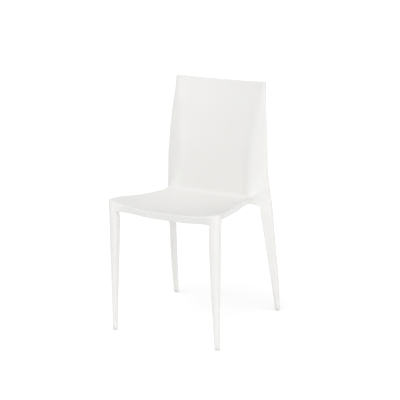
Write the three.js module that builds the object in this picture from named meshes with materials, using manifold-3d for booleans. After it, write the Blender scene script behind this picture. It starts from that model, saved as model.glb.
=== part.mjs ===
// One-piece moulded stacking chair with push-in glides and stacking pads.
// Millimetres, +Z up, the chair faces -Y, origin on the floor under its middle.
import * as THREE from 'three';
import { mergeVertices } from 'three/addons/utils/BufferGeometryUtils.js';
import Module from 'manifold-3d';

// ---------------------------------------------------------------- driving dimensions

const SEAT_WALL = 5.5;             // wall of the seat and of the middle of the back
const APRON_SETBACK = 25;          // how far the lower edge of the apron sits inboard of the rim
const LIP = 9;                     // width of the flat under the apron
const SHELL_LEVELS = 1;            // subdivision steps of the moulding's cage
const RIM_SHARPNESS = 2;           // crease value of the crisp rims
const SOFT = 1;                    // crease value of the rounder ones

const GLIDE_HEIGHT = 9;            // the moulding's legs end this far above the floor
const GLIDE_RADIUS = 7.3;
const SOCKET_RADIUS = 4.4;
const SOCKET_DEPTH = 24;
const SPIGOT_LENGTH = 20;
const SPIGOT_CORE = 3.4;           // radius of the spigot between its barbs
const SPIGOT_BARB = 4.1;
const BARBS = 3;
const FIT_GAP = 0.3;               // clearance between a push-in piece and its hole

const PAD_RADIUS = 8;
const PAD_HEIGHT = 4;
const PAD_RECESS = 1.2;
const PAD_EDGE = 0.8;              // chamfer of its face
const PAD_STEM = 2;
const PAD_STEM_RADIUS = 2.8;

const ROUND_SIDES = 16;
const MIDDLE_Y = -7.15;            // the levels below are measured from midway between the feet,
                                   // and the origin goes to the middle of the whole depth

const COLOURS = { shell: 0xf1f0ec, glide: 0xb9b9b6, pad: 0xc9c8c4 };

// Rings of the seat from front to rear: y, half width, height of the rim, height in the middle,
// and how far the turned-under apron hangs below the rim.
const SEAT_ROWS = [
  { y: -238, half: 203, rim: 459.5, middle: 438.5, hang: 29 },
  { y: -226, half: 205.5, rim: 461, middle: 439.3, hang: 30 },
  { y: -204, half: 205, rim: 459, middle: 435, hang: 31 },
  { y: -165, half: 201, rim: 455.5, middle: 431.5, hang: 35 },
  { y: -112, half: 189, rim: 449, middle: 429, hang: 37 },
  { y: -50, half: 176, rim: 442.5, middle: 427, hang: 38 },
  { y: 15, half: 166.5, rim: 438.5, middle: 426.5, hang: 37 },
  { y: 62, half: 162.5, rim: 436.5, middle: 427, hang: 35 },
];

// Rings through the bend and up the back. middle is the front skin's centre line, edge is where
// the wing starts, fold is the wing's outer edge and tail is the edge behind it. spine is the
// rear skin's bend, given where the leg grows out of it and found from the wall elsewhere.
const BACK_ROWS = [
  {
    middle: [90, 431.5], edge: [160.5, 90, 436],
    fold: [143, 104, 406], tail: [141, 113, 411], spine: [144, 122, 421],
  },
  {
    middle: [101.5, 448], edge: [157, 98.5, 446],
    fold: [180, 127, 445], tail: null, spine: [158, 137, 437],
  },
  {
    middle: [109.5, 472], edge: [151, 109, 472],
    fold: [194, 141, 498], tail: [195.5, 155.4, 494], spine: [167, 144, 474],
  },
  {
    middle: [123.5, 520], edge: [145, 120.5, 520],
    fold: [192.6, 141, 550], tail: [191.8, 152.5, 549], wall: 11,
  },
  {
    middle: [137.5, 585], edge: [143.5, 130, 585],
    fold: [190, 145.5, 602], tail: [189.6, 152.2, 602], wall: 8,
  },
  {
    middle: [150.5, 650], edge: [147, 140.5, 650],
    fold: [186, 148.5, 655], tail: [186.3, 154, 655], wall: 7,
  },
  {
    middle: [161.5, 719], edge: [151.5, 149, 720],
    fold: [179.5, 154, 722], tail: [179.8, 159.3, 722], wall: 6,
  },
  {
    middle: [174.5, 783], edge: [158.5, 160.2, 785],
    fold: [171.8, 162.5, 785], tail: [172, 167.7, 785], wall: 5.5,
  },
  {
    middle: [180.5, 817], edge: [162.5, 165.8, 820],
    fold: [168.8, 167, 820], tail: [169, 172, 820], wall: 5,
  },
];

// Levels of the legs, from under the seat to the foot: z, centre, section size.
const FRONT_LEG = [
  { z: 405, x: 188.5, y: -223, wide: 33.5, deep: 32, bevel: 19 },
  { z: 330, x: 189.2, y: -222.9, wide: 32, deep: 30.5, bevel: 18 },
  { z: 220, x: 190.5, y: -222.2, wide: 26.5, deep: 25.5, bevel: 15 },
  { z: 110, x: 192.8, y: -220.7, wide: 20.2, deep: 19.8, bevel: 11 },
  { z: 35, x: 194.8, y: -218.8, wide: 16.4, deep: 16.2, bevel: 8 },
  { z: GLIDE_HEIGHT, x: 195.5, y: -218.3, wide: 15.4, deep: 15.2, bevel: 7.5 },
];
const REAR_LEG = [
  { z: 398, x: 186, y: 152, long: 50, thick: 20, round: 0 },
  { z: 380, x: 188.5, y: 155, long: 46, thick: 20, round: 0 },
  { z: 320, x: 191.5, y: 165, long: 43, thick: 19.5, round: 0 },
  { z: 215, x: 197.6, y: 182.8, long: 35.2, thick: 18.6, round: 0.1 },
  { z: 110, x: 203.2, y: 201, long: 26, thick: 17.4, round: 0.45 },
  { z: 35, x: 205.7, y: 213.6, long: 18.6, thick: 15.6, round: 0.85 },
  { z: GLIDE_HEIGHT, x: 206.4, y: 217.2, long: 16, thick: 14.8, round: 1 },
];
const REAR_LEG_TURN = THREE.MathUtils.degToRad(40);   // direction of its long section

// The gas channel of each leg runs from the glide's socket up to this radius and height.
const LEGS = [
  { name: 'front', levels: FRONT_LEG, channelTop: 9.5, channelEnd: 385 },
  { name: 'rear', levels: REAR_LEG, channelTop: 4.4, channelEnd: 150 },
];
const PADS = [
  { name: 'front', x: 118, y: -150 },
  { name: 'rear', x: 98, y: 40 },
];
const SIDES = [['left', -1], ['right', 1]];

// Where the cage's lines run across, as shares of the half width.
const COLUMNS_EVEN = [0, 0.2, 0.41, 0.62, 0.82, 1];
const COLUMNS_LEG = [0, 0.33, 0.62, 0.815, 0.908, 1];   // the last three meet the front leg
const COLUMNS_REAR = [0, 0.26, 0.56];                   // of the skin behind the back
const RIM = 5;                     // index of the last line

// Corners of the legs' rings that stay crisp, and the last level where they do.
const FRONT_CORNERS = [0, 4, 6];
const REAR_CORNERS = [0, 2, 3];
const CRISP_LEVELS = 4;

// ---------------------------------------------------------------- cage of the moulding

function mix(a, b, t) {
  return a + (b - a) * t;
}

function columns(row) {
  const t = THREE.MathUtils.smoothstep(row, 2, 5);
  return COLUMNS_LEG.map((c, j) => mix(c, COLUMNS_EVEN[j], t));
}

function seatTop(row, share) {
  const { y, half, rim, middle } = SEAT_ROWS[row];
  const power = mix(3, 2.2, THREE.MathUtils.smoothstep(row, 0, 4));
  return [half * share, y, mix(middle, rim, share ** power)];
}

function seatRow(row) {
  const shares = columns(row);
  const top = shares.map((share) => seatTop(row, share));
  const [rimX, y, rimZ] = top[RIM];
  const lowest = rimZ - SEAT_ROWS[row].hang;
  const under = top.map(([x, , z]) => [x * 0.97, y, z - SEAT_WALL]);
  under[RIM] = [rimX - APRON_SETBACK, y, lowest];
  under[RIM - 1] = [rimX - APRON_SETBACK - LIP, y, lowest + 1.5];
  under[RIM - 2][0] = rimX - 50;
  under[RIM - 2][2] -= 1.5;
  return { top, under };
}

function frontLegSection({ z, x, y, wide, deep, bevel }) {
  const small = Math.min(5, bevel * 0.8);
  const pull = 1 - Math.SQRT1_2;
  const [w, d] = [wide / 2, deep / 2];
  return {
    frontInner: [x - w + small * pull, y - d + small * pull, z],
    frontMiddle: [x + w - bevel, y - d, z],
    frontOuter: [x + w - bevel * pull, y - d + bevel * pull, z],
    outerMiddle: [x + w, y - d + bevel, z],
    outerBack: [x + w - small * pull, y + d - small * pull, z],
    backMiddle: [x, y + d, z],
    backInner: [x - w + small * pull, y + d - small * pull, z],
    innerMiddle: [x - w, y, z],
  };
}

function frontRows() {
  const rows = [0, 1, 2].map(seatRow);
  const leg = frontLegSection({ ...FRONT_LEG[0], wide: 36, deep: 33 });
  const at = ([x, y], z) => [x, y, z];
  for (let j = 0; j < 3; j += 1) {
    const [x, y, z] = rows[0].top[j];
    rows[0].under[j] = [x * 0.98, y + APRON_SETBACK, z - SEAT_ROWS[0].hang];
    rows[1].under[j] = [x * 0.98, y + APRON_SETBACK + LIP, z - SEAT_ROWS[0].hang + 1.5];
    rows[2].under[j] = [x * 0.98, y + APRON_SETBACK + 24, rows[2].top[j][2] - SEAT_WALL - 1];
  }
  rows[0].top[RIM] = [199.5, -234, 459];
  rows[0].under[3] = [170.5, -233, 420];
  rows[0].under[4] = at(leg.frontMiddle, 430);
  rows[0].under[5] = at(leg.frontOuter, 434);
  rows[1].under[3] = at(leg.innerMiddle, 422);
  rows[1].under[4] = [188, -221, 424];
  rows[1].under[5] = at(leg.outerMiddle, 435);
  rows[2].under[3] = at(leg.backInner, 422);
  rows[2].under[4] = at(leg.backMiddle, 424);
  rows[2].under[5] = at(leg.outerBack, 433);
  return rows;
}

// A point of the front skin, share 0 on the middle line and 1 where the wing starts.
function backFront({ middle, edge }, share) {
  return [edge[0] * share, mix(middle[0], edge[1], share ** 2), mix(middle[1], edge[2], share ** 2)];
}

function backRow(index) {
  const row = BACK_ROWS[index];
  const { edge, fold, tail, wall } = row;
  const below = BACK_ROWS[index - 1]?.middle ?? [SEAT_ROWS.at(-1).y, SEAT_ROWS.at(-1).middle];
  const above = BACK_ROWS[index + 1]?.middle ?? row.middle;
  const along = new THREE.Vector2(above[0] - below[0], above[1] - below[1]).normalize();
  const rearSkin = COLUMNS_REAR.map((share) => {
    const [x, y, z] = backFront(row, share);
    return [x, y + SEAT_WALL * along.y, z - SEAT_WALL * along.x];
  });
  const across = new THREE.Vector2(fold[0] - edge[0], fold[1] - edge[1]).normalize();
  const spine = row.spine ?? [
    mix(edge[0], fold[0], 0.45) - across.y * wall,
    mix(edge[1], fold[1], 0.45) + across.x * wall,
    mix(edge[2], fold[2], 0.45),
  ];
  return {
    top: COLUMNS_EVEN.map((share) => backFront(row, share)),
    under: [...rearSkin, spine, tail ?? fold, fold],
  };
}

function shellRows() {
  const seat = SEAT_ROWS.slice(3).map((_, k) => seatRow(k + 3));
  return [...frontRows(), ...seat, ...BACK_ROWS.map((_, k) => backRow(k))];
}

// A blade with a flat front, a narrow outer side and a rounded rear, turning into an oval
// towards the foot. Offsets are shares of its half length and half thickness.
const BLADE = [
  [-1.1, -1.07], [-0.265, -1.07], [0.57, -1.07], [1.01, 0.11],
  [0.45, 0.46], [-0.16, 0.73], [-0.78, 0.89], [-0.94, -0.09],
];
const OVAL = [
  [-0.72, -0.92], [0, -1], [0.72, -0.92], [1, 0],
  [0.72, 0.92], [0, 1], [-0.72, 0.92], [-1, 0],
];

function rearLegSection({ z, x, y, long, thick, round }) {
  const along = new THREE.Vector2(Math.cos(REAR_LEG_TURN), Math.sin(REAR_LEG_TURN));
  return BLADE.map(([bladeU, bladeV], k) => {
    const u = mix(bladeU, OVAL[k][0], round) * long / 2;
    const v = mix(bladeV, OVAL[k][1], round) * thick / 2;
    return [x + along.x * u - along.y * v, y + along.y * u + along.x * v, z];
  });
}

// A cage holds points, quads and creases. Points are shared by name, so that both halves of
// the chair meet on its middle line.
class Cage {
  constructor() {
    this.points = [];
    this.faces = [];
    this.creases = [];
    this.names = new Map();
  }

  point(name, [x, y, z], side) {
    const key = `${name}${x === 0 ? '' : side}`;
    if (!this.names.has(key)) {
      this.names.set(key, this.points.length);
      this.points.push(new THREE.Vector3(x * side, y, z));
    }
    return this.names.get(key);
  }

  quad(a, b, c, d, side) {
    this.faces.push(side > 0 ? [a, b, c, d] : [d, c, b, a]);
  }

  crease(a, b, sharpness) {
    this.creases.push([a, b, sharpness]);
  }
}

// Extrudes a ring of eight named points down through the leg's levels and closes the foot.
// The given corners of the ring stay crisp down to the level where the leg turns round.
function addLeg(cage, name, ring, sections, corners, side) {
  let upper = ring;
  for (const [level, section] of sections.entries()) {
    const lower = Object.values(section).map((p, k) => cage.point(`${name}${level}.${k}`, p, side));
    for (let k = 0; k < 8; k += 1) {
      const next = (k + 1) % 8;
      cage.quad(upper[k], lower[k], lower[next], upper[next], side);
      if (corners.includes(k) && level <= CRISP_LEVELS) {
        cage.crease(upper[k], lower[k], SOFT);
      }
    }
    upper = lower;
  }
  const foot = sections.at(-1);
  const middle = new THREE.Vector3();
  for (const p of Object.values(foot)) {
    middle.add(new THREE.Vector3(...p).divideScalar(8));
  }
  const centre = cage.point(`${name}foot`, middle.toArray(), side);
  for (let k = 0; k < 8; k += 2) {
    cage.quad(upper[k], centre, upper[(k + 2) % 8], upper[(k + 1) % 8], side);
    cage.crease(upper[k], upper[(k + 1) % 8], RIM_SHARPNESS);
    cage.crease(upper[(k + 1) % 8], upper[(k + 2) % 8], RIM_SHARPNESS);
  }
}

function addHalf(cage, rows, side) {
  const top = rows.map((row, i) => row.top.map((p, j) => cage.point(`t${i}.${j}`, p, side)));
  const under = rows.map((row, i) => row.under.map((p, j) => (
    isLegMiddle(i, j) ? null : cage.point(`u${i}.${j}`, p, side))));
  const last = rows.length - 1;
  const rear = SEAT_ROWS.length;
  for (let i = 0; i < last; i += 1) {
    for (let j = 0; j < RIM; j += 1) {
      cage.quad(top[i][j], top[i][j + 1], top[i + 1][j + 1], top[i + 1][j], side);
      const inLeg = j >= 3 && (i < 2 || (i >= rear && i < rear + 2));
      if (!inLeg) {
        cage.quad(under[i][j], under[i + 1][j], under[i + 1][j + 1], under[i][j + 1], side);
      }
    }
    cage.quad(top[i][RIM], under[i][RIM], under[i + 1][RIM], top[i + 1][RIM], side);
  }
  for (let j = 0; j < RIM; j += 1) {
    cage.quad(under[0][j], under[0][j + 1], top[0][j + 1], top[0][j], side);
    cage.quad(top[last][j], top[last][j + 1], under[last][j + 1], under[last][j], side);
    cage.crease(top[0][j], top[0][j + 1], SOFT);
    cage.crease(top[last][j], top[last][j + 1], RIM_SHARPNESS);
    cage.crease(under[last][j], under[last][j + 1], RIM_SHARPNESS);
  }
  cage.crease(top[last][RIM], under[last][RIM], RIM_SHARPNESS);
  for (let j = 0; j < 3; j += 1) {
    cage.crease(under[0][j], under[0][j + 1], SOFT);
  }
  for (let i = 0; i < rear; i += 1) {
    cage.crease(top[i][RIM], top[i + 1][RIM], i < 2 ? SOFT : RIM_SHARPNESS);
  }
  for (let i = 2; i < rear; i += 1) {
    cage.crease(under[i][RIM], under[i + 1][RIM], SOFT);
  }
  for (let i = rear + 2; i < last; i += 1) {
    cage.crease(under[i][RIM], under[i + 1][RIM], RIM_SHARPNESS);
    cage.crease(under[i][RIM - 1], under[i + 1][RIM - 1], RIM_SHARPNESS);
  }
  const frontRing = [
    under[0][3], under[0][4], under[0][5], under[1][5],
    under[2][5], under[2][4], under[2][3], under[1][3]];
  addLeg(cage, 'front', frontRing, FRONT_LEG.map(frontLegSection), FRONT_CORNERS, side);
  const rearRing = [
    under[rear][5], under[rear + 1][5], under[rear + 2][5], under[rear + 2][4],
    under[rear + 2][3], under[rear + 1][3], under[rear][3], under[rear][4]];
  addLeg(cage, 'rear', rearRing, REAR_LEG.map(rearLegSection), REAR_CORNERS, side);
}

function isLegMiddle(i, j) {
  return j === 4 && (i === 1 || i === SEAT_ROWS.length + 1);
}

function shellCage() {
  const cage = new Cage();
  const rows = shellRows();
  addHalf(cage, rows, 1);
  addHalf(cage, rows, -1);
  return cage;
}

// ---------------------------------------------------------------- subdivision surface

function edgeKey(a, b) {
  return a < b ? `${a},${b}` : `${b},${a}`;
}

function adjacency({ points, faces, creases }) {
  const sharp = new Map(creases.map(([a, b, s]) => [edgeKey(a, b), s]));
  const edges = new Map();
  const around = points.map(() => ({ faces: [], edges: [] }));
  faces.forEach((face, f) => {
    face.forEach((a, k) => {
      const b = face[(k + 1) % face.length];
      const key = edgeKey(a, b);
      if (!edges.has(key)) {
        edges.set(key, { ends: [a, b], faces: [], sharpness: sharp.get(key) ?? 0 });
        around[a].edges.push(key);
        around[b].edges.push(key);
      }
      edges.get(key).faces.push(f);
      around[a].faces.push(f);
    });
  });
  return { edges, around };
}

function average(vectors) {
  const sum = new THREE.Vector3();
  for (const v of vectors) {
    sum.add(v);
  }
  return sum.divideScalar(vectors.length);
}

// One Catmull-Clark step with creases whose sharpness falls by one each step.
function subdivide(mesh) {
  const { points, faces } = mesh;
  const { edges, around } = adjacency(mesh);
  const centres = faces.map((face) => average(face.map((i) => points[i])));
  const moved = points.map((p, i) => {
    const own = around[i].edges.map((key) => edges.get(key));
    const sharp = own.filter((edge) => edge.sharpness > 0);
    const other = (edge) => points[edge.ends[0] === i ? edge.ends[1] : edge.ends[0]];
    if (sharp.length > 2) {
      return p.clone();
    }
    if (sharp.length === 2) {
      return p.clone().multiplyScalar(6).add(other(sharp[0])).add(other(sharp[1])).divideScalar(8);
    }
    const n = own.length;
    const middles = average(own.map((edge) => average(edge.ends.map((k) => points[k]))));
    const around4 = average(around[i].faces.map((f) => centres[f]));
    return around4.addScaledVector(middles, 2).addScaledVector(p, n - 3).divideScalar(n);
  });
  const all = [...moved, ...centres];
  const edgeIndex = new Map();
  const creases = [];
  for (const [key, edge] of edges) {
    const ends = edge.ends.map((k) => points[k]);
    const sides = edge.faces.map((f) => centres[f]);
    edgeIndex.set(key, all.length);
    if (edge.sharpness > 1) {
      creases.push([edge.ends[0], all.length, edge.sharpness - 1]);
      creases.push([edge.ends[1], all.length, edge.sharpness - 1]);
    }
    all.push(average(edge.sharpness > 0 ? ends : [...ends, ...sides]));
  }
  const quads = faces.flatMap((face, f) => face.map((a, k) => {
    const next = face[(k + 1) % face.length];
    const previous = face[(k + face.length - 1) % face.length];
    return [a, edgeIndex.get(edgeKey(a, next)), moved.length + f, edgeIndex.get(edgeKey(previous, a))];
  }));
  return { points: all, faces: quads, creases };
}

// Where each point of a cage comes to rest on the smooth surface.
function limitPoints(mesh) {
  const { points, faces } = mesh;
  const { edges, around } = adjacency(mesh);
  return points.map((p, i) => {
    const own = around[i].edges.map((key) => edges.get(key));
    const sharp = own.filter((edge) => edge.sharpness > 0);
    const other = (edge) => points[edge.ends[0] === i ? edge.ends[1] : edge.ends[0]];
    if (sharp.length > 2) {
      return p.clone();
    }
    if (sharp.length === 2) {
      return p.clone().multiplyScalar(4).add(other(sharp[0])).add(other(sharp[1])).divideScalar(6);
    }
    const n = own.length;
    const sum = p.clone().multiplyScalar(n * n);
    own.forEach((edge) => sum.addScaledVector(other(edge), 4));
    around[i].faces.forEach((f) => sum.add(points[faces[f][(faces[f].indexOf(i) + 2) % 4]]));
    return sum.divideScalar(n * (n + 5));
  });
}

// Moves the cage outward until its smooth surface passes close to the points it was given.
function fitCage(cage, rounds = 5) {
  const wanted = cage.points.map((p) => p.clone());
  let { points } = cage;
  for (let round = 0; round < rounds; round += 1) {
    const reached = limitPoints({ ...cage, points });
    points = points.map((p, i) => p.clone().add(wanted[i]).sub(reached[i]));
  }
  return { points, faces: cage.faces, creases: cage.creases };
}

function smoothShell(levels = SHELL_LEVELS) {
  let mesh = fitCage(shellCage());
  for (let level = 0; level < levels; level += 1) {
    mesh = subdivide(mesh);
  }
  return { ...mesh, points: limitPoints(mesh) };
}

function quadsToGeometry({ points, faces }) {
  const geometry = new THREE.BufferGeometry();
  const positions = points.flatMap((p) => p.toArray());
  geometry.setAttribute('position', new THREE.Float32BufferAttribute(positions, 3));
  geometry.setIndex(faces.flatMap(([a, b, c, d]) => {
    const acrossAC = points[a].distanceTo(points[c]) < points[b].distanceTo(points[d]);
    return acrossAC ? [a, b, c, a, c, d] : [a, b, d, b, c, d];
  }));
  return geometry;
}

// ---------------------------------------------------------------- solids

const wasm = await Module();
wasm.setup();

function solid(source) {
  const geometry = source.index ? source.clone() : mergeVertices(source);
  geometry.deleteAttribute('normal');
  geometry.deleteAttribute('uv');
  const merged = mergeVertices(geometry, 1e-4);
  const whole = [];
  const { array } = merged.index;
  for (let k = 0; k < array.length; k += 3) {
    const [a, b, c] = array.slice(k, k + 3);
    if (a !== b && b !== c && c !== a) {
      whole.push(a, b, c);
    }
  }
  return new wasm.Manifold(new wasm.Mesh({
    numProp: 3,
    vertProperties: new Float32Array(merged.attributes.position.array),
    triVerts: new Uint32Array(whole),
  }));
}

function geometryOf(manifold) {
  const { vertProperties, triVerts } = manifold.getMesh();
  const geometry = new THREE.BufferGeometry();
  geometry.setAttribute('position', new THREE.BufferAttribute(vertProperties, 3));
  geometry.setIndex(new THREE.BufferAttribute(triVerts, 1));
  return geometry;
}

// A turned solid whose axis starts at a point and follows a direction.
function turned(outline, from, along, sides = ROUND_SIDES) {
  const profile = outline.map(([radius, height]) => new THREE.Vector2(radius, height));
  const geometry = new THREE.LatheGeometry(profile, sides);
  const turn = new THREE.Quaternion().setFromUnitVectors(new THREE.Vector3(0, 1, 0), along);
  geometry.applyQuaternion(turn);
  geometry.translate(from.x, from.y, from.z);
  return geometry;
}

// ---------------------------------------------------------------- legs' channels and glides

function legAxis({ levels }, side) {
  const [top, foot] = [levels[0], levels.at(-1)];
  const from = new THREE.Vector3(foot.x * side, foot.y, foot.z);
  const along = new THREE.Vector3(top.x * side, top.y, top.z).sub(from).normalize();
  return { from, along };
}

// The gas channel of a hollow leg, open at the foot, where it is the glide's socket.
function legChannel(leg, side) {
  const { from, along } = legAxis(leg, side);
  const end = leg.channelEnd - GLIDE_HEIGHT;
  return turned([
    [0, -3],
    [SOCKET_RADIUS, -3],
    [SOCKET_RADIUS, SOCKET_DEPTH],
    [leg.channelTop, end - leg.channelTop],
    [leg.channelTop * Math.SQRT1_2, end - leg.channelTop * (1 - Math.SQRT1_2)],
    [0, end],
  ], from, along);
}

function glideGeometry(leg, side) {
  const { from, along } = legAxis(leg, side);
  const foot = leg.levels.at(-1);
  const top = GLIDE_HEIGHT - FIT_GAP;
  const button = turned([
    [0, 0],
    [GLIDE_RADIUS - 2.2, 0],
    [GLIDE_RADIUS - 0.6, 0.9],
    [GLIDE_RADIUS, 2.6],
    [GLIDE_RADIUS, top - 0.5],
    [GLIDE_RADIUS - 0.5, top],
    [0, top],
  ], new THREE.Vector3(foot.x * side, foot.y, 0), new THREE.Vector3(0, 0, 1));
  const spigot = [[0, -4], [SPIGOT_CORE, -4]];
  const pitch = SPIGOT_LENGTH / (BARBS + 1);
  for (let k = 0; k < BARBS; k += 1) {
    const base = (k + 0.75) * pitch;
    spigot.push([SPIGOT_CORE, base], [SPIGOT_BARB, base + 0.4], [SPIGOT_CORE, base + 0.6 * pitch]);
  }
  spigot.push([SPIGOT_CORE, SPIGOT_LENGTH - 1], [SPIGOT_CORE - 1, SPIGOT_LENGTH], [0, SPIGOT_LENGTH]);
  return geometryOf(solid(button).add(solid(turned(spigot, from, along))));
}

// ---------------------------------------------------------------- stacking pads

// Where a line straight up meets the seat's underside, and the way the skin faces there.
function underside(shell, x, y) {
  const mesh = new THREE.Mesh(shell);
  const upward = new THREE.Raycaster(new THREE.Vector3(x, y, 0), new THREE.Vector3(0, 0, 1));
  const [{ point, face }] = upward.intersectObject(mesh);
  const from = point.addScaledVector(face.normal, -PAD_RECESS);
  return { from, along: face.normal };
}

// A round button in a shallow recess, held by a stem in a blind hole.
function padGeometry({ from, along }) {
  return turned([
    [0, -PAD_STEM],
    [PAD_STEM_RADIUS, -PAD_STEM],
    [PAD_STEM_RADIUS, 0],
    [PAD_RADIUS, 0],
    [PAD_RADIUS, PAD_HEIGHT - PAD_EDGE],
    [PAD_RADIUS - PAD_EDGE, PAD_HEIGHT],
    [0, PAD_HEIGHT],
  ], from, along);
}

function padHole({ from, along }) {
  return turned([
    [0, -PAD_STEM - FIT_GAP],
    [PAD_STEM_RADIUS + FIT_GAP, -PAD_STEM - FIT_GAP],
    [PAD_STEM_RADIUS + FIT_GAP, -FIT_GAP],
    [PAD_RADIUS + FIT_GAP, -FIT_GAP],
    [PAD_RADIUS + FIT_GAP, 3 * PAD_HEIGHT],
    [0, 3 * PAD_HEIGHT],
  ], from, along);
}

// ---------------------------------------------------------------- the chair

const chair = new THREE.Group();

function addPiece(name, geometry, color, roughness) {
  const material = new THREE.MeshStandardMaterial({ color, roughness, metalness: 0 });
  const mesh = new THREE.Mesh(geometry.translate(0, -MIDDLE_Y, 0), material);
  mesh.name = name;
  chair.add(mesh);
}

const shell = quadsToGeometry(smoothShell());
let moulding = solid(shell);
for (const [sideName, side] of SIDES) {
  for (const leg of LEGS) {
    moulding = moulding.subtract(solid(legChannel(leg, side)));
    addPiece(`glide_${leg.name}_${sideName}`, glideGeometry(leg, side), COLOURS.glide, 0.45);
  }
  for (const { name, x, y } of PADS) {
    const seating = underside(shell, x * side, y);
    moulding = moulding.subtract(solid(padHole(seating)));
    addPiece(`stack_pad_${name}_${sideName}`, padGeometry(seating), COLOURS.pad, 0.8);
  }
}
addPiece('chair_shell', geometryOf(moulding), COLOURS.shell, 0.55);

export default chair;
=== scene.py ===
"""The looks of a one-piece moulded stacking chair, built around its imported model.

Metres, +Z up, the chair faces -Y. The tables of the moulding are in millimetres.
"""

import math

import bmesh
import bpy
from mathutils import Matrix, Vector
from mathutils.bvhtree import BVHTree


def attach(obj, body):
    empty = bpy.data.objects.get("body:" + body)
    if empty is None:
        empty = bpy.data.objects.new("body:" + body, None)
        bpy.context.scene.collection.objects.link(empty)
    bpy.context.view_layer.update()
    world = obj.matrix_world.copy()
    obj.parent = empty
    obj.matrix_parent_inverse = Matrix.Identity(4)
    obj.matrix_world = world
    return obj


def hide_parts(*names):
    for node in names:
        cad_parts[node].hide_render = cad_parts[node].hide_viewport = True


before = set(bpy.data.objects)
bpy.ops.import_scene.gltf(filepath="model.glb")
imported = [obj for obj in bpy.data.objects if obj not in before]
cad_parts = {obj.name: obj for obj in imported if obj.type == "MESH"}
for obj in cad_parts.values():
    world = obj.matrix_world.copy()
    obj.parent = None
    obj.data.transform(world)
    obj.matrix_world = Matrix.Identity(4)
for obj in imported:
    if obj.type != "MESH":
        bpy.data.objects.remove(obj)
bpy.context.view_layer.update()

MM = 0.001

# ---------------------------------------------------------------- driving dimensions, mm

SEAT_WALL = 5.5             # wall of the seat and of the middle of the back
UNDER_WIDTH = 0.97          # width of the underside as a share of the seat's
APRON_SETBACK = 25          # how far the lower edge of the apron sits inboard of the rim
APRON_ROOT = 50             # and how far its inner face does where it meets the underside
LIP = 9                     # width of the flat under the apron
LIP_RISE = 1.5              # how much higher the inner edge of that flat is
FRONT_APRON_WIDTH = 0.98    # width of the front apron as a share of the rim's
FRONT_APRON_ROOT = 49       # depth from the front rim to where its inner face meets the underside
LEG_ROOT = (36, 33)         # width and depth of the front leg where it leaves the apron
RIM_SHARPNESS = 2           # crease value of the crisp rims
SOFT = 1                    # crease value of the rounder ones
FIT_ROUNDS = 5              # passes that bring the smooth surface onto the tables' points
SUBDIVISIONS = 3            # levels of smoothing
MIDDLE_Y = -7.15            # the tables are measured from midway between the feet, and the
                            # origin is in the middle of the whole depth

GLIDE_HEIGHT = 9            # the moulding's legs end this far above the floor
GLIDE_RADIUS = 7.3
SOCKET_RADIUS = 4.4
SOCKET_DEPTH = 24
SPIGOT_LENGTH = 20
SPIGOT_ROOT = 4             # how deep it starts inside the foot button
SPIGOT_CORE = 3.4           # its radius between the barbs
SPIGOT_BARB = 4.1           # its radius at a barb
BARBS = 3
FIT_GAP = 0.3               # clearance between a push-in piece and its hole
OVERCUT = 3                 # how far a channel's cutter stands out of the foot

PAD_RADIUS = 8
PAD_HEIGHT = 4
PAD_RECESS = 1.2            # depth of the recess it sits in
PAD_EDGE = 0.8              # chamfer of its face
PAD_DISH = 0.4              # depth of the hollow in its face
PAD_STEM = 2                # length of its stem
PAD_STEM_RADIUS = 2.8

# y, half width, height of the rim, height in the middle, how far the apron hangs below the rim
SEAT_ROWS = [
    (-238, 203, 459.5, 438.5, 29),
    (-226, 205.5, 461, 439.3, 30),
    (-204, 205, 459, 435, 31),
    (-165, 201, 455.5, 431.5, 35),
    (-112, 189, 449, 429, 37),
    (-50, 176, 442.5, 427, 38),
    (15, 166.5, 438.5, 426.5, 37),
    (62, 162.5, 436.5, 427, 35),
]

# middle of the front skin (y, z), where the wing starts, its fold, the edge behind the fold,
# and either the rear skin's bend or the wall there
BACK_ROWS = [
    dict(middle=(90, 431.5), edge=(160.5, 90, 436), fold=(143, 104, 406), tail=(141, 113, 411),
         spine=(144, 122, 421)),
    dict(middle=(101.5, 448), edge=(157, 98.5, 446), fold=(180, 127, 445), tail=None,
         spine=(158, 137, 437)),
    dict(middle=(109.5, 472), edge=(151, 109, 472), fold=(194, 141, 498),
         tail=(195.5, 155.4, 494), spine=(167, 144, 474)),
    dict(middle=(123.5, 520), edge=(145, 120.5, 520), fold=(192.6, 141, 550),
         tail=(191.8, 152.5, 549), wall=11),
    dict(middle=(137.5, 585), edge=(143.5, 130, 585), fold=(190, 145.5, 602),
         tail=(189.6, 152.2, 602), wall=8),
    dict(middle=(150.5, 650), edge=(147, 140.5, 650), fold=(186, 148.5, 655),
         tail=(186.3, 154, 655), wall=7),
    dict(middle=(161.5, 719), edge=(151.5, 149, 720), fold=(179.5, 154, 722),
         tail=(179.8, 159.3, 722), wall=6),
    dict(middle=(174.5, 783), edge=(158.5, 160.2, 785), fold=(171.8, 162.5, 785),
         tail=(172, 167.7, 785), wall=5.5),
    dict(middle=(180.5, 817), edge=(162.5, 165.8, 820), fold=(168.8, 167, 820),
         tail=(169, 172, 820), wall=5),
]

# z, x, y, width, depth, bevel of the outer front corner
FRONT_LEG = [
    (405, 188.5, -223, 33.5, 32, 19),
    (330, 189.2, -222.9, 32, 30.5, 18),
    (220, 190.5, -222.2, 26.5, 25.5, 15),
    (110, 192.8, -220.7, 20.2, 19.8, 11),
    (35, 194.8, -218.8, 16.4, 16.2, 8),
    (GLIDE_HEIGHT, 195.5, -218.3, 15.4, 15.2, 7.5),
]
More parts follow.
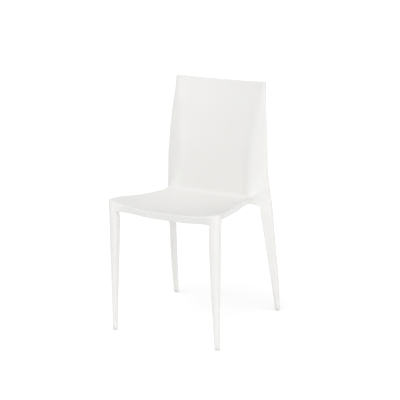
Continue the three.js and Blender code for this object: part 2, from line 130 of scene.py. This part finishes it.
# z, x, y, length and thickness of the section, how far it is an oval
REAR_LEG = [
    (398, 186, 152, 50, 20, 0),
    (380, 188.5, 155, 46, 20, 0),
    (320, 191.5, 165, 43, 19.5, 0),
    (215, 197.6, 182.8, 35.2, 18.6, 0.1),
    (110, 203.2, 201, 26, 17.4, 0.45),
    (35, 205.7, 213.6, 18.6, 15.6, 0.85),
    (GLIDE_HEIGHT, 206.4, 217.2, 16, 14.8, 1),
]
REAR_LEG_TURN = math.radians(40)    # direction of its long section

# name, levels, radius of the gas channel at its top, height of its end
LEGS = [("front", FRONT_LEG, 9.5, 385), ("rear", REAR_LEG, 4.4, 150)]
# name, x, y
PADS = [("front", 118, -150), ("rear", 98, 40)]
SIDES = [("left", -1), ("right", 1)]

# Where the columns of points stand between the middle line (0) and the rim (1).
COLUMNS_EVEN = [0, 0.2, 0.41, 0.62, 0.82, 1]
COLUMNS_LEG = [0, 0.33, 0.62, 0.815, 0.908, 1]      # the last three meet the front leg
COLUMNS_REAR = [0, 0.26, 0.56]                      # of the skin behind the back
RIM = 5                                             # index of the last column

# The corners of the legs' sections that are creased, down to this level.
FRONT_CORNERS = [0, 4, 6]
REAR_CORNERS = [0, 2, 3]
CRISP_LEVELS = 4

# ---------------------------------------------------------------- cage of the moulding


def mix(a, b, t):
    return a + (b - a) * t


def smoothstep(x, low, high):
    t = min(1, max(0, (x - low) / (high - low)))
    return t * t * (3 - 2 * t)


def columns(row):
    """The shares of a seat row's points: gathered over the legs in front, even further back."""
    t = smoothstep(row, 2, 5)
    return [mix(c, e, t) for c, e in zip(COLUMNS_LEG, COLUMNS_EVEN)]


def seat_top(row, share):
    """A point of the seat's top: share 0 is the middle line and 1 is the rim."""
    y, half, rim, middle, _ = SEAT_ROWS[row]
    power = mix(3, 2.2, smoothstep(row, 0, 4))
    return [half * share, y, mix(middle, rim, share**power)]


def seat_row(row):
    """The points of a row across the seat's top, and of the underside and apron below them."""
    top = [seat_top(row, share) for share in columns(row)]
    rim_x, y, rim_z = top[RIM]
    lowest = rim_z - SEAT_ROWS[row][4]
    under = [[x * UNDER_WIDTH, y, z - SEAT_WALL] for x, _, z in top]
    under[RIM] = [rim_x - APRON_SETBACK, y, lowest]
    under[RIM - 1] = [rim_x - APRON_SETBACK - LIP, y, lowest + LIP_RISE]
    under[RIM - 2][0] = rim_x - APRON_ROOT
    under[RIM - 2][2] -= LIP_RISE
    return top, under


def front_leg_section(z, x, y, wide, deep, bevel):
    """Eight points round a front leg, counted from its inner front corner by way of the outer side."""
    small = min(5, bevel * 0.8)
    pull = 1 - math.sqrt(0.5)
    w, d = wide / 2, deep / 2
    return [
        [x - w + small * pull, y - d + small * pull, z],
        [x + w - bevel, y - d, z],
        [x + w - bevel * pull, y - d + bevel * pull, z],
        [x + w, y - d + bevel, z],
        [x + w - small * pull, y + d - small * pull, z],
        [x, y + d, z],
        [x - w + small * pull, y + d - small * pull, z],
        [x - w, y, z],
    ]


def front_rows():
    """The first three rows, whose undersides turn down into the front apron and the front legs."""
    rows = [seat_row(i) for i in range(3)]
    leg = front_leg_section(*FRONT_LEG[0][:3], *LEG_ROOT, FRONT_LEG[0][5])
    (top0, under0), (_, under1), (top2, under2) = rows
    for j in range(3):
        x, y, z = top0[j]
        x *= FRONT_APRON_WIDTH
        lowest = z - SEAT_ROWS[0][4]
        under0[j] = [x, y + APRON_SETBACK, lowest]
        under1[j] = [x, y + APRON_SETBACK + LIP, lowest + LIP_RISE]
        under2[j] = [x, y + FRONT_APRON_ROOT, top2[j][2] - SEAT_WALL - 1]
    # The seat's corner, and the apron's lower edge where it meets the leg.
    top0[RIM] = [199.5, -234, 459]
    under0[3] = [170.5, -233, 420]
    # The leg's root: a corner of its section and the height where the underside meets it.
    for target, column, corner, z in (
        (under0, 4, 1, 430), (under0, 5, 2, 434),
        (under1, 3, 7, 422), (under1, 5, 3, 435),
        (under2, 3, 6, 422), (under2, 4, 5, 424), (under2, 5, 4, 433),
    ):
        target[column] = [*leg[corner][:2], z]
    return rows


def back_front(row, share):
    """A point of the front skin: share 0 is the middle line and 1 is where the wing starts."""
    (y, z), edge = row["middle"], row["edge"]
    return [edge[0] * share, mix(y, edge[1], share**2), mix(z, edge[2], share**2)]


def back_row(index):
    """The points of a row across the back's front skin, and of its rear skin and wing."""
    row = BACK_ROWS[index]
    edge, fold = row["edge"], row["fold"]
    y_below, z_below = BACK_ROWS[index - 1]["middle"] if index else (SEAT_ROWS[-1][0], SEAT_ROWS[-1][3])
    y_above, z_above = BACK_ROWS[min(index + 1, len(BACK_ROWS) - 1)]["middle"]
    along = Vector((y_above - y_below, z_above - z_below)).normalized()
    rear = []
    for share in COLUMNS_REAR:
        x, y, z = back_front(row, share)
        rear.append([x, y + SEAT_WALL * along.y, z - SEAT_WALL * along.x])
    if "spine" in row:
        spine = row["spine"]
    else:
        across = Vector((fold[0] - edge[0], fold[1] - edge[1])).normalized()
        spine = [
            mix(edge[0], fold[0], 0.45) - across.y * row["wall"],
            mix(edge[1], fold[1], 0.45) + across.x * row["wall"],
            mix(edge[2], fold[2], 0.45),
        ]
    top = [back_front(row, share) for share in COLUMNS_EVEN]
    return top, [*rear, spine, row["tail"] or fold, fold]


def shell_rows():
    """All rows from the seat's front edge to the top of the back."""
    seat = [seat_row(i) for i in range(3, len(SEAT_ROWS))]
    return [*front_rows(), *seat, *(back_row(i) for i in range(len(BACK_ROWS)))]


# A blade with a flat front, a narrow outer side and a rounded rear, and the oval it turns into.
# Offsets are shares of the half length and half thickness.
BLADE = [
    (-1.1, -1.07), (-0.265, -1.07), (0.57, -1.07), (1.01, 0.11),
    (0.45, 0.46), (-0.16, 0.73), (-0.78, 0.89), (-0.94, -0.09),
]
OVAL = [
    (-0.72, -0.92), (0, -1), (0.72, -0.92), (1, 0),
    (0.72, 0.92), (0, 1), (-0.72, 0.92), (-1, 0),
]


def rear_leg_section(z, x, y, length, thick, roundness):
    """Eight points round a rear leg, from a blade (roundness 0) to an oval (1)."""
    along = Vector((math.cos(REAR_LEG_TURN), math.sin(REAR_LEG_TURN)))
    ring = []
    for blade, oval in zip(BLADE, OVAL):
        u = mix(blade[0], oval[0], roundness) * length / 2
        v = mix(blade[1], oval[1], roundness) * thick / 2
        ring.append([x + along.x * u - along.y * v, y + along.y * u + along.x * v, z])
    return ring


class Cage:
    """Points, quads and creases. Points are shared by name, so both halves of the chair meet."""

    def __init__(self):
        self.points = []
        self.faces = []
        self.creases = {}
        self.names = {}

    def point(self, name, place, side):
        """The index of the named point, which is made if it's new. Side -1 mirrors it."""
        x, y, z = place
        key = (name, 0 if x == 0 else side)
        if key not in self.names:
            self.names[key] = len(self.points)
            self.points.append(Vector((x * side, y - MIDDLE_Y, z)) * MM)
        return self.names[key]

    def quad(self, a, b, c, d, side):
        self.faces.append((a, b, c, d) if side > 0 else (d, c, b, a))

    def crease(self, a, b, sharpness):
        self.creases[min(a, b), max(a, b)] = sharpness


def add_leg(cage, name, ring, sections, corners, side):
    """Extrudes a ring of eight points down through the leg's levels and closes the foot."""
    upper = ring
    for level, section in enumerate(sections):
        lower = [cage.point(f"{name}{level}.{k}", p, side) for k, p in enumerate(section)]
        for k in range(8):
            after = (k + 1) % 8
            cage.quad(upper[k], lower[k], lower[after], upper[after], side)
        if level <= CRISP_LEVELS:
            for k in corners:
                cage.crease(upper[k], lower[k], SOFT)
        upper = lower
    foot = sections[-1]
    centre = cage.point(f"{name}foot", [sum(p[axis] for p in foot) / 8 for axis in range(3)], side)
    for k in range(8):
        cage.crease(upper[k], upper[(k + 1) % 8], RIM_SHARPNESS)
    for k in range(0, 8, 2):
        cage.quad(upper[k], centre, upper[(k + 2) % 8], upper[k + 1], side)


def add_half(cage, rows, side):
    """One half of the moulding: both skins, the rims that join them, the creases and two legs."""
    rear = len(SEAT_ROWS)
    last = len(rows) - 1
    leg_middles = {(1, 4), (rear + 1, 4)}
    top, under = [], []
    for i, (top_row, under_row) in enumerate(rows):
        top.append([cage.point(f"t{i}.{j}", p, side) for j, p in enumerate(top_row)])
        under.append([
            None if (i, j) in leg_middles else cage.point(f"u{i}.{j}", p, side)
            for j, p in enumerate(under_row)
        ])
    for i in range(last):
        for j in range(RIM):
            cage.quad(top[i][j], top[i][j + 1], top[i + 1][j + 1], top[i + 1][j], side)
            if not (j >= 3 and (i < 2 or rear <= i < rear + 2)):
                cage.quad(under[i][j], under[i + 1][j], under[i + 1][j + 1], under[i][j + 1], side)
        cage.quad(top[i][RIM], under[i][RIM], under[i + 1][RIM], top[i + 1][RIM], side)
    for j in range(RIM):
        cage.quad(under[0][j], under[0][j + 1], top[0][j + 1], top[0][j], side)
        cage.quad(top[last][j], top[last][j + 1], under[last][j + 1], under[last][j], side)
        cage.crease(top[0][j], top[0][j + 1], SOFT)
        cage.crease(top[last][j], top[last][j + 1], RIM_SHARPNESS)
        cage.crease(under[last][j], under[last][j + 1], RIM_SHARPNESS)
    cage.crease(top[last][RIM], under[last][RIM], RIM_SHARPNESS)
    for j in range(3):
        cage.crease(under[0][j], under[0][j + 1], SOFT)
    for i in range(rear):
        cage.crease(top[i][RIM], top[i + 1][RIM], SOFT if i < 2 else RIM_SHARPNESS)
    for i in range(2, rear):
        cage.crease(under[i][RIM], under[i + 1][RIM], SOFT)
    for i in range(rear + 2, last):
        for j in (RIM - 1, RIM):
            cage.crease(under[i][j], under[i + 1][j], RIM_SHARPNESS)
    front_ring = [
        under[0][3], under[0][4], under[0][5], under[1][5],
        under[2][5], under[2][4], under[2][3], under[1][3],
    ]
    front_sections = [front_leg_section(*level) for level in FRONT_LEG]
    add_leg(cage, "front", front_ring, front_sections, FRONT_CORNERS, side)
    rear_ring = [
        under[rear][5], under[rear + 1][5], under[rear + 2][5], under[rear + 2][4],
        under[rear + 2][3], under[rear + 1][3], under[rear][3], under[rear][4],
    ]
    rear_sections = [rear_leg_section(*level) for level in REAR_LEG]
    add_leg(cage, "rear", rear_ring, rear_sections, REAR_CORNERS, side)


def neighbours(cage):
    """For each point, the points its sharp edges and all its edges lead to, and its faces."""
    around = [{"edges": [], "sharp": [], "faces": []} for _ in cage.points]
    seen = set()
    for f, face in enumerate(cage.faces):
        for k, a in enumerate(face):
            b = face[(k + 1) % 4]
            around[a]["faces"].append(f)
            key = (min(a, b), max(a, b))
            if key in seen:
                continue
            seen.add(key)
            for here, there in ((a, b), (b, a)):
                around[here]["edges"].append(there)
                if cage.creases.get(key):
                    around[here]["sharp"].append(there)
    return around


def limit_points(cage, points, around):
    """Where each point of the cage comes to rest on the smooth surface."""
    resting = []
    for i, p in enumerate(points):
        sharp = around[i]["sharp"]
        if len(sharp) > 2:
            resting.append(p.copy())
        elif len(sharp) == 2:
            resting.append((p * 4 + points[sharp[0]] + points[sharp[1]]) / 6)
        else:
            edges, faces = around[i]["edges"], around[i]["faces"]
            n = len(edges)
            total = p * (n * n)
            for other in edges:
                total += points[other] * 4
            for f in faces:
                face = cage.faces[f]
                total += points[face[(face.index(i) + 2) % 4]]
            resting.append(total / (n * (n + 5)))
    return resting


def fit_cage(cage):
    """Moves the cage outward until its smooth surface passes close to the points it was given."""
    wanted = [p.copy() for p in cage.points]
    around = neighbours(cage)
    for _ in range(FIT_ROUNDS):
        resting = limit_points(cage, cage.points, around)
        cage.points = [p + w - r for p, w, r in zip(cage.points, wanted, resting)]


# ---------------------------------------------------------------- meshes


def add_object(name, mesh):
    piece = bpy.data.objects.new(name, mesh)
    bpy.context.scene.collection.objects.link(piece)
    return piece


def freeze(piece):
    """Applies the piece's modifiers."""
    evaluated = piece.evaluated_get(bpy.context.evaluated_depsgraph_get())
    mesh = bpy.data.meshes.new_from_object(evaluated)
    piece.modifiers.clear()
    piece.data = mesh


def smooth_moulding():
    cage = Cage()
    rows = shell_rows()
    add_half(cage, rows, 1)
    add_half(cage, rows, -1)
    fit_cage(cage)
    mesh = bpy.data.meshes.new("moulding")
    mesh.from_pydata(cage.points, [], cage.faces)
    crease = mesh.attributes.new("crease_edge", "FLOAT", "EDGE")
    for edge in mesh.edges:
        a, b = sorted(edge.vertices)
        crease.data[edge.index].value = math.sqrt(cage.creases.get((a, b), 0) / 10)
    mesh.shade_smooth()
    piece = add_object("moulding", mesh)
    subdivide = piece.modifiers.new("smooth", "SUBSURF")
    subdivide.levels = SUBDIVISIONS
    subdivide.render_levels = SUBDIVISIONS
    freeze(piece)
    return piece


def turned(name, outline, start, along, sides=32):
    """A turned solid whose axis starts at a point and follows a direction, all in metres."""
    mesh = bmesh.new()
    turn = Vector((0, 0, 1)).rotation_difference(along).to_matrix().to_4x4()
    place = Matrix.Translation(start) @ turn
    rings = []
    for radius, height in outline:
        if radius == 0:
            rings.append([mesh.verts.new(place @ Vector((0, 0, height)))])
            continue
        ring = []
        for k in range(sides):
            angle = 2 * math.pi * k / sides
            ring.append(mesh.verts.new(
                place @ Vector((radius * math.cos(angle), radius * math.sin(angle), height))
            ))
        rings.append(ring)
    for lower, upper in zip(rings, rings[1:]):
        for k in range(sides):
            after = (k + 1) % sides
            corners = [
                lower[k % len(lower)], lower[after % len(lower)],
                upper[after % len(upper)], upper[k % len(upper)],
            ]
            mesh.faces.new(list(dict.fromkeys(corners)))
    data = bpy.data.meshes.new(name)
    mesh.to_mesh(data)
    mesh.free()
    data.shade_smooth()
    data.set_sharp_from_angle(angle=math.radians(32))
    return add_object(name, data)


def in_metres(outline):
    return [(radius * MM, height * MM) for radius, height in outline]


def combine(piece, other, operation):
    """Cuts the other solid out of the piece (DIFFERENCE) or joins it on (UNION)."""
    boolean = piece.modifiers.new("combine", "BOOLEAN")
    boolean.operation = operation
    boolean.solver = "EXACT"
    boolean.object = other
    freeze(piece)
    bpy.data.objects.remove(other)


def leg_axis(levels, side):
    """The middle of the leg's foot, and the direction up the leg."""
    z, x, y = levels[-1][:3]
    top_z, top_x, top_y = levels[0][:3]
    start = Vector((x * side, y - MIDDLE_Y, z)) * MM
    end = Vector((top_x * side, top_y - MIDDLE_Y, top_z)) * MM
    return start, (end - start).normalized()


def cut_channel(moulding, levels, top_radius, top_height, side):
    """Hollows a leg: the glide's socket, and a tapering gas channel with a blunt end above it."""
    start, along = leg_axis(levels, side)
    end = top_height - GLIDE_HEIGHT
    root = math.sqrt(0.5)
    channel = turned("channel", in_metres([
        (0, -OVERCUT),
        (SOCKET_RADIUS, -OVERCUT),
        (SOCKET_RADIUS, SOCKET_DEPTH),
        (top_radius, end - top_radius),
        (top_radius * root, end - top_radius * (1 - root)),
        (0, end),
    ]), start, along)
    combine(moulding, channel, "DIFFERENCE")


def make_glide(name, levels, side):
    """A round foot button, with a groove near its top edge and a barbed spigot up the leg's axis."""
    start, along = leg_axis(levels, side)
    foot = Vector((start.x, start.y, 0))
    top = GLIDE_HEIGHT - FIT_GAP
    rim = GLIDE_RADIUS
    glide = turned(name, in_metres([
        (0, 0),
        (rim - 2.2, 0),
        (rim - 1.3, 0.25),
        (rim - 0.6, 0.9),
        (rim - 0.15, 1.7),
        (rim, 2.6),
        (rim, top - 1.9),
        (rim - 0.35, top - 1.6),
        (rim - 0.35, top - 1.3),
        (rim, top - 1.0),
        (rim, top - 0.4),
        (rim - 0.4, top),
        (0, top),
    ]), foot, Vector((0, 0, 1)), 48)
    spigot = [(0, -SPIGOT_ROOT), (SPIGOT_CORE, -SPIGOT_ROOT)]
    pitch = SPIGOT_LENGTH / (BARBS + 1)
    for k in range(BARBS):
        base = (k + 0.75) * pitch
        spigot += [(SPIGOT_CORE, base), (SPIGOT_BARB, base + 0.4), (SPIGOT_CORE, base + 0.6 * pitch)]
    spigot += [(SPIGOT_CORE, SPIGOT_LENGTH - 1), (SPIGOT_CORE - 1, SPIGOT_LENGTH), (0, SPIGOT_LENGTH)]
    combine(glide, turned("spigot", in_metres(spigot), start, along), "UNION")
    return glide


def make_pad(name, seating, along):
    """A round button whose stem points back up into the seat."""
    rim = PAD_RADIUS
    face = PAD_HEIGHT
    return turned(name, in_metres([
        (0, -PAD_STEM),
        (PAD_STEM_RADIUS, -PAD_STEM),
        (PAD_STEM_RADIUS, 0),
        (rim, 0),
        (rim, face - PAD_EDGE),
        (rim - 0.25, face - 0.25),
        (rim - PAD_EDGE, face),
        (rim * 0.5, face),
        (rim * 0.45, face - PAD_DISH),
        (0, face - PAD_DISH),
    ]), seating, along, 48)


def cut_pad_hole(moulding, seating, along):
    """The recess for a pad, with the blind hole for its stem."""
    stem, rim = PAD_STEM_RADIUS + FIT_GAP, PAD_RADIUS + FIT_GAP
    hole = turned("hole", in_metres([
        (0, -PAD_STEM - FIT_GAP),
        (stem, -PAD_STEM - FIT_GAP),
        (stem, -FIT_GAP),
        (rim, -FIT_GAP),
        (rim, 3 * PAD_HEIGHT),
        (0, 3 * PAD_HEIGHT),
    ]), seating, along, 48)
    combine(moulding, hole, "DIFFERENCE")


def underside(moulding, x, y):
    """Where a line straight up meets the seat's underside, and the way the skin faces there."""
    tree = BVHTree.FromObject(moulding, bpy.context.evaluated_depsgraph_get())
    point, normal, _, _ = tree.ray_cast(Vector((x, y - MIDDLE_Y, 0)) * MM, Vector((0, 0, 1)))
    return point - normal * PAD_RECESS * MM, normal


# ---------------------------------------------------------------- materials

# The two tones of each material, which a broad noise mixes.
SHELL_TONES = (0.715, 0.71, 0.694), (0.74, 0.735, 0.722)
GLIDE_TONES = (0.61, 0.61, 0.595), (0.67, 0.67, 0.655)
PAD_TONES = (0.52, 0.52, 0.50), (0.58, 0.58, 0.56)
FLOOR_TONES = (0.95, 0.95, 0.95), (0.98, 0.98, 0.98)


def new_material(name):
    material = bpy.data.materials.new(name)
    material.use_nodes = True
    return material, material.node_tree.nodes, material.node_tree.links


def add_noise(nodes, links, coordinates, scale, detail=2.0, roughness=0.5):
    noise = nodes.new("ShaderNodeTexNoise")
    noise.inputs["Scale"].default_value = scale
    noise.inputs["Detail"].default_value = detail
    noise.inputs["Roughness"].default_value = roughness
    links.new(coordinates, noise.inputs["Vector"])
    return noise.outputs["Fac"]


def add_range(nodes, links, value, low, high, new_low, new_high):
    span = nodes.new("ShaderNodeMapRange")
    links.new(value, span.inputs["Value"])
    for socket, number in (
        ("From Min", low), ("From Max", high), ("To Min", new_low), ("To Max", new_high),
    ):
        span.inputs[socket].default_value = number
    return span.outputs["Result"]


def add_mix(nodes, links, share, first, second):
    blend = nodes.new("ShaderNodeMix")
    blend.data_type = "RGBA"
    links.new(share, blend.inputs["Factor"])
    for socket, value in (("A", first), ("B", second)):
        target = next(s for s in blend.inputs if s.name == socket and s.type == "RGBA")
        if isinstance(value, bpy.types.NodeSocket):
            links.new(value, target)
        else:
            target.default_value = (*value, 1)
    return next(s for s in blend.outputs if s.type == "RGBA")


def add_bump(nodes, links, height, distance, strength, below=None):
    bump = nodes.new("ShaderNodeBump")
    bump.inputs["Distance"].default_value = distance
    bump.inputs["Strength"].default_value = strength
    links.new(height, bump.inputs["Height"])
    if below is not None:
        links.new(below, bump.inputs["Normal"])
    return bump.outputs["Normal"]


def shell_plastic():
    """Matt warm-white polypropylene with the fine grain of an etched mould."""
    material, nodes, links = new_material("moulded_polypropylene")
    shader = nodes["Principled BSDF"]
    place = nodes.new("ShaderNodeTexCoord").outputs["Object"]
    broad = add_noise(nodes, links, place, scale=5, detail=3)
    links.new(add_mix(nodes, links, broad, *SHELL_TONES), shader.inputs["Base Color"])
    mottle = add_noise(nodes, links, place, scale=60, detail=4, roughness=0.6)
    links.new(add_range(nodes, links, mottle, 0.3, 0.7, 0.44, 0.56), shader.inputs["Roughness"])
    shader.inputs["Specular IOR Level"].default_value = 0.4
    shader.inputs["IOR"].default_value = 1.49
    waves = add_noise(nodes, links, place, scale=22, detail=1)
    flow = add_bump(nodes, links, waves, distance=0.0006, strength=0.35)
    grain = add_noise(nodes, links, place, scale=1500, detail=2, roughness=0.6)
    etched = add_bump(nodes, links, grain, distance=0.00006, strength=0.35, below=flow)
    links.new(etched, shader.inputs["Normal"])
    return material


def plain_plastic(name, tones, roughness, grain_scale):
    """A plastic or rubber without any larger pattern, for the small pieces."""
    material, nodes, links = new_material(name)
    shader = nodes["Principled BSDF"]
    place = nodes.new("ShaderNodeTexCoord").outputs["Object"]
    broad = add_noise(nodes, links, place, scale=90, detail=3)
    links.new(add_mix(nodes, links, broad, *tones), shader.inputs["Base Color"])
    mottle = add_noise(nodes, links, place, scale=400, detail=3)
    gloss = add_range(nodes, links, mottle, 0.3, 0.7, roughness - 0.08, roughness + 0.08)
    links.new(gloss, shader.inputs["Roughness"])
    grain = add_noise(nodes, links, place, scale=grain_scale, detail=2)
    links.new(add_bump(nodes, links, grain, distance=0.0001, strength=0.3), shader.inputs["Normal"])
    return material


# ---------------------------------------------------------------- pieces of the chair


def finish_piece(piece, material, slot, *nodes):
    """Gives the piece its material, hides the CAD nodes it stands for and hangs it on the root body."""
    piece.data.materials.clear()
    piece.data.materials.append(material)
    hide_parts(*nodes)
    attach(piece, "root")


def build_chair():
    white = shell_plastic()
    grey = plain_plastic("glide_polyethylene", GLIDE_TONES, roughness=0.42, grain_scale=900)
    soft = plain_plastic("pad_elastomer", PAD_TONES, roughness=0.75, grain_scale=1300)
    moulding = smooth_moulding()
    seatings = {
        (name, side): underside(moulding, x * side, y) for name, x, y in PADS for _, side in SIDES
    }
    for side_name, side in SIDES:
        for name, levels, top_radius, top_height in LEGS:
            cut_channel(moulding, levels, top_radius, top_height, side)
            glide = make_glide(f"floor_glide_{name}_{side_name}", levels, side)
            finish_piece(glide, grey, "glide", f"glide_{name}_{side_name}")
        for name, _, _ in PADS:
            seating, along = seatings[name, side]
            cut_pad_hole(moulding, seating, along)
            pad = make_pad(f"seat_pad_{name}_{side_name}", seating, along)
            finish_piece(pad, soft, "pad", f"stack_pad_{name}_{side_name}")
    moulding.data.set_sharp_from_angle(angle=math.radians(50))
    finish_piece(moulding, white, "shell", "chair_shell")


# ---------------------------------------------------------------- stage, camera and lights

CAMERA_AZIMUTH = math.radians(28.7)
CAMERA_PITCH = math.radians(-14.8)
CAMERA_PLACE = Vector((1848, -3352 - MIDDLE_Y, 1440)) * MM
SENSOR_WIDTH = 36           # mm, as is the focal length
FOCAL_LENGTH = 105.426
FLOOR_SIZE = 30             # metres
FLOOR_GLOW = 0.1


def build_camera():
    camera = bpy.data.objects.new("camera", bpy.data.cameras.new("camera"))
    bpy.context.scene.collection.objects.link(camera)
    camera.location = CAMERA_PLACE
    camera.rotation_euler = (math.radians(90) + CAMERA_PITCH, 0, CAMERA_AZIMUTH)
    camera.data.lens = FOCAL_LENGTH
    camera.data.sensor_width = SENSOR_WIDTH
    camera.data.clip_end = 50
    bpy.context.scene.camera = camera


def build_stage():
    """A pale floor that glows a little, so that the chair's shadow on it almost vanishes."""
    bpy.ops.mesh.primitive_plane_add(size=FLOOR_SIZE)
    floor = bpy.context.object
    floor.name = "floor"
    material, nodes, links = new_material("pale_floor")
    shader = nodes["Principled BSDF"]
    place = nodes.new("ShaderNodeTexCoord").outputs["Object"]
    shade = add_noise(nodes, links, place, scale=2, detail=2)
    links.new(add_mix(nodes, links, shade, *FLOOR_TONES), shader.inputs["Base Color"])
    shader.inputs["Roughness"].default_value = 0.9
    shader.inputs["Emission Color"].default_value = (1, 1, 1, 1)
    shader.inputs["Emission Strength"].default_value = FLOOR_GLOW
    floor.data.materials.append(material)


# The studio's soft lights: azimuth from the front towards +X, elevation, strength.
SOFT_LIGHTS = [
    (80, 10, 1.8),
    (0, 50, 1.5),
    (-50, 50, 0.5),
    (-120, 50, 0.5),
    (-150, 10, 0.55),
]
LIGHT_FOCUS = 3             # power of the cosine that a light falls off with


def add_math(nodes, links, operation, first, second):
    step = nodes.new("ShaderNodeMath")
    step.operation = operation
    for socket, value in zip(step.inputs, (first, second)):
        if isinstance(value, bpy.types.NodeSocket):
            links.new(value, socket)
        else:
            socket.default_value = value
    return step.outputs["Value"]


def build_lights():
    """Lights the chair from all round by broad white lobes of the world."""
    world = bpy.data.worlds.new("studio")
    bpy.context.scene.world = world
    world.use_nodes = True
    nodes, links = world.node_tree.nodes, world.node_tree.links
    direction = nodes.new("ShaderNodeTexCoord").outputs["Generated"]
    total = 0
    for azimuth, elevation, strength in SOFT_LIGHTS:
        turn, rise = math.radians(azimuth), math.radians(elevation)
        facing = nodes.new("ShaderNodeVectorMath")
        facing.operation = "DOT_PRODUCT"
        links.new(direction, facing.inputs[0])
        facing.inputs[1].default_value = (
            math.sin(turn) * math.cos(rise), -math.cos(turn) * math.cos(rise), math.sin(rise))
        lobe = add_math(nodes, links, "MAXIMUM", facing.outputs["Value"], 0)
        lobe = add_math(nodes, links, "POWER", lobe, LIGHT_FOCUS)
        lobe = add_math(nodes, links, "MULTIPLY", lobe, strength)
        total = add_math(nodes, links, "ADD", lobe, total)
    sky = nodes["Background"]
    sky.inputs["Color"].default_value = (1, 1, 1, 1)
    links.new(total, sky.inputs["Strength"])
    bpy.context.scene.view_settings.view_transform = "Standard"


build_camera()
build_chair()
build_stage()
build_lights()
